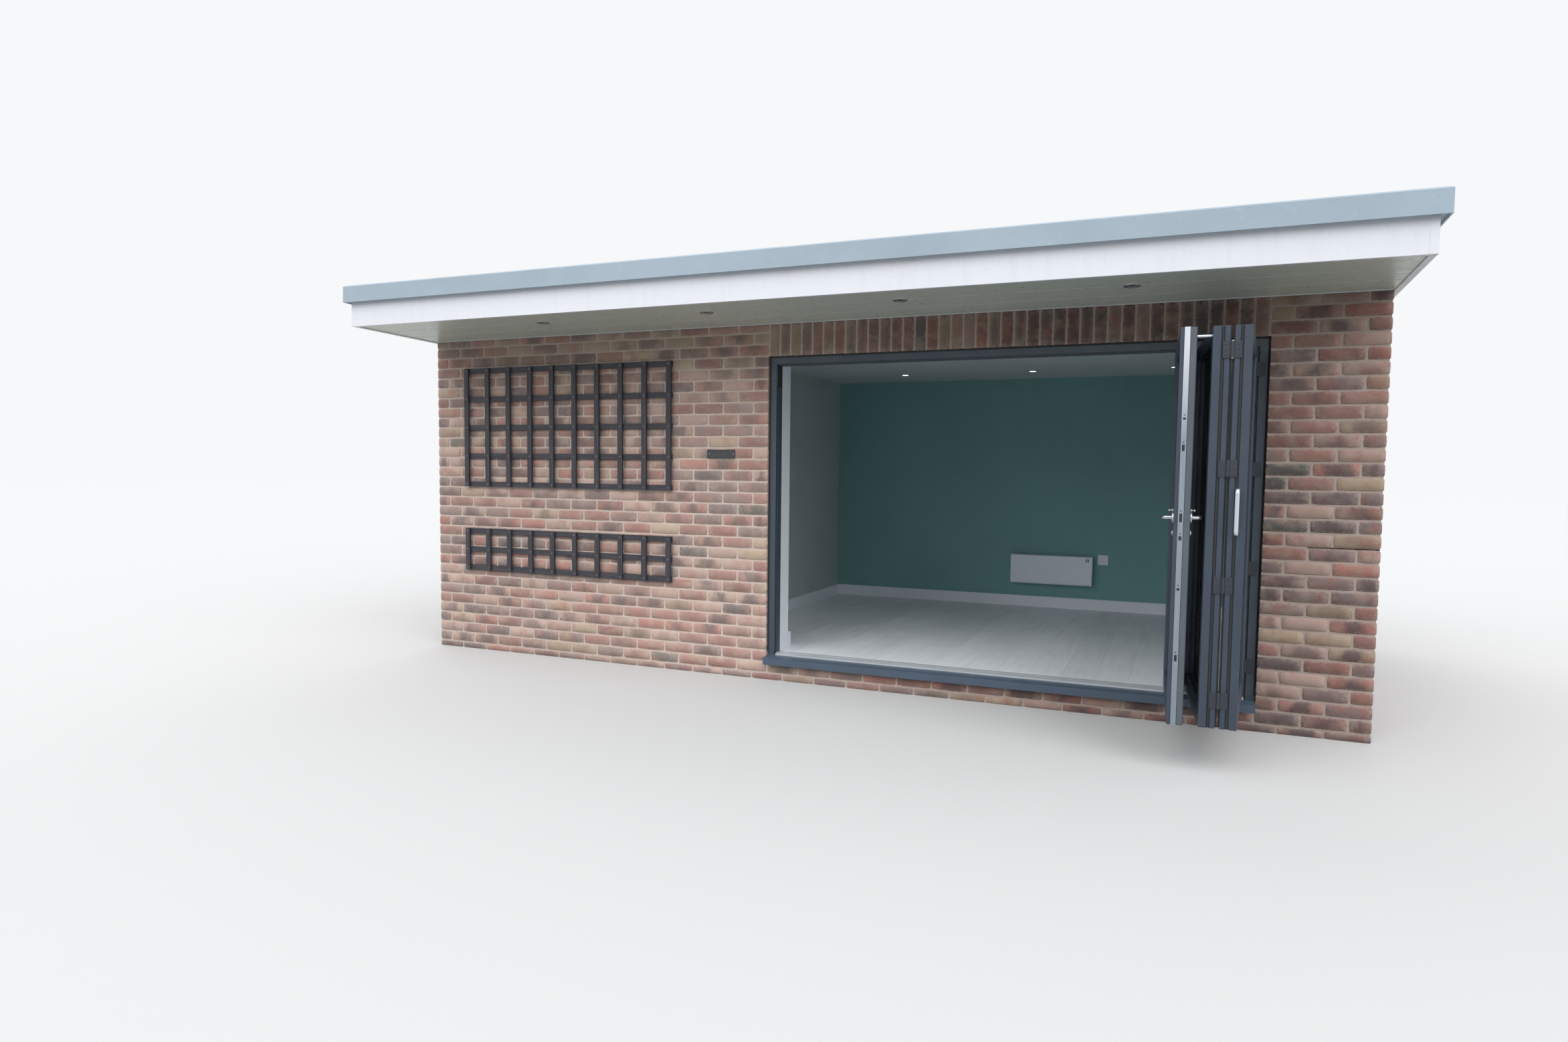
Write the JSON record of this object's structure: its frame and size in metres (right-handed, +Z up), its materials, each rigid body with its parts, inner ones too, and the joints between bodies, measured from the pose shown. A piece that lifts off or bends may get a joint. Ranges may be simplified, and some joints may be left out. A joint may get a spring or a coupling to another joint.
{
  "type": "summer house",
  "caption": "Brick garden room with a deep flat-roof canopy, folding glazed doors standing open at one side, one main room inside and dark trellis on the front.",
  "frame": {"origin": "bottom centre of the whole building's bounding box, on the ground", "axes": "+X to the right along the front as seen from outside, +Y from the front into the building, +Z up"},
  "size_m": [6.43, 4.4129, 2.6402],
  "materials": {
    "brick": "tumbled multi brick with pale mortar",
    "plaster": "matt white paint",
    "teal_paint": "matt teal paint",
    "concrete": "plain concrete",
    "floor_boards": "satin pale grey boards",
    "white_wood": "satin white paint",
    "white_plastic": "satin white plastic",
    "timber_deck": "plain boards",
    "roof_laminate": "weathered blue-grey laminate",
    "edge_trim": "blue-grey laminate",
    "anthracite": "satin powder coat",
    "threshold_metal": "satin anodised",
    "glass": "clear",
    "steel": "brushed",
    "bright_aluminium": "satin",
    "dark_wood": "dark stain",
    "slate": "honed dark slate",
    "lamp": "satin bezel",
    "heater_white": "white enamel"
  },
  "bodies": {
    "root": {"front_wall_left": "brick", "front_wall_right": "brick", "front_wall_over_door": "brick", "front_wall_under_door": "brick", "left_wall": "brick", "right_wall": "brick", "back_wall": "brick", "lining_front": "plaster", "lining_over_door": "plaster", "lining_sides": "plaster", "lining_back_store": "plaster", "lining_back_room": "teal_paint", "floor_slab": "concrete", "floor_finish": "floor_boards", "partition_wall": "plaster", "ceiling": "plaster", "skirting_boards": "white_wood", "soffit_board": "white_plastic", "roof_deck": "timber_deck", "roof_covering": "roof_laminate", "fascia_front": "white_plastic", "fascia_back": "white_plastic", "fascia_sides": "white_plastic", "trim_front": "edge_trim", "trim_back": "edge_trim", "trim_sides": "edge_trim", "door_frame_head": "anthracite", "door_frame_jambs": "anthracite", "door_threshold": "threshold_metal", "door_cill": "anthracite", "leaf_frame_lead": "anthracite", "leaf_frame_middle": "anthracite", "leaf_frame_jamb": "anthracite", "leaf_glass": "glass", "door_hinges": "anthracite", "door_catch": "bright_aluminium", "lever_handles": "steel", "pull_handle": "bright_aluminium", "lock_faceplate": "bright_aluminium", "trellis_upper": "dark_wood", "trellis_lower": "dark_wood", "name_plate": "slate", "recessed_lights": "lamp", "wall_heater": "heater_white", "wall_socket": "white_plastic"}
  },
  "joints": []
}
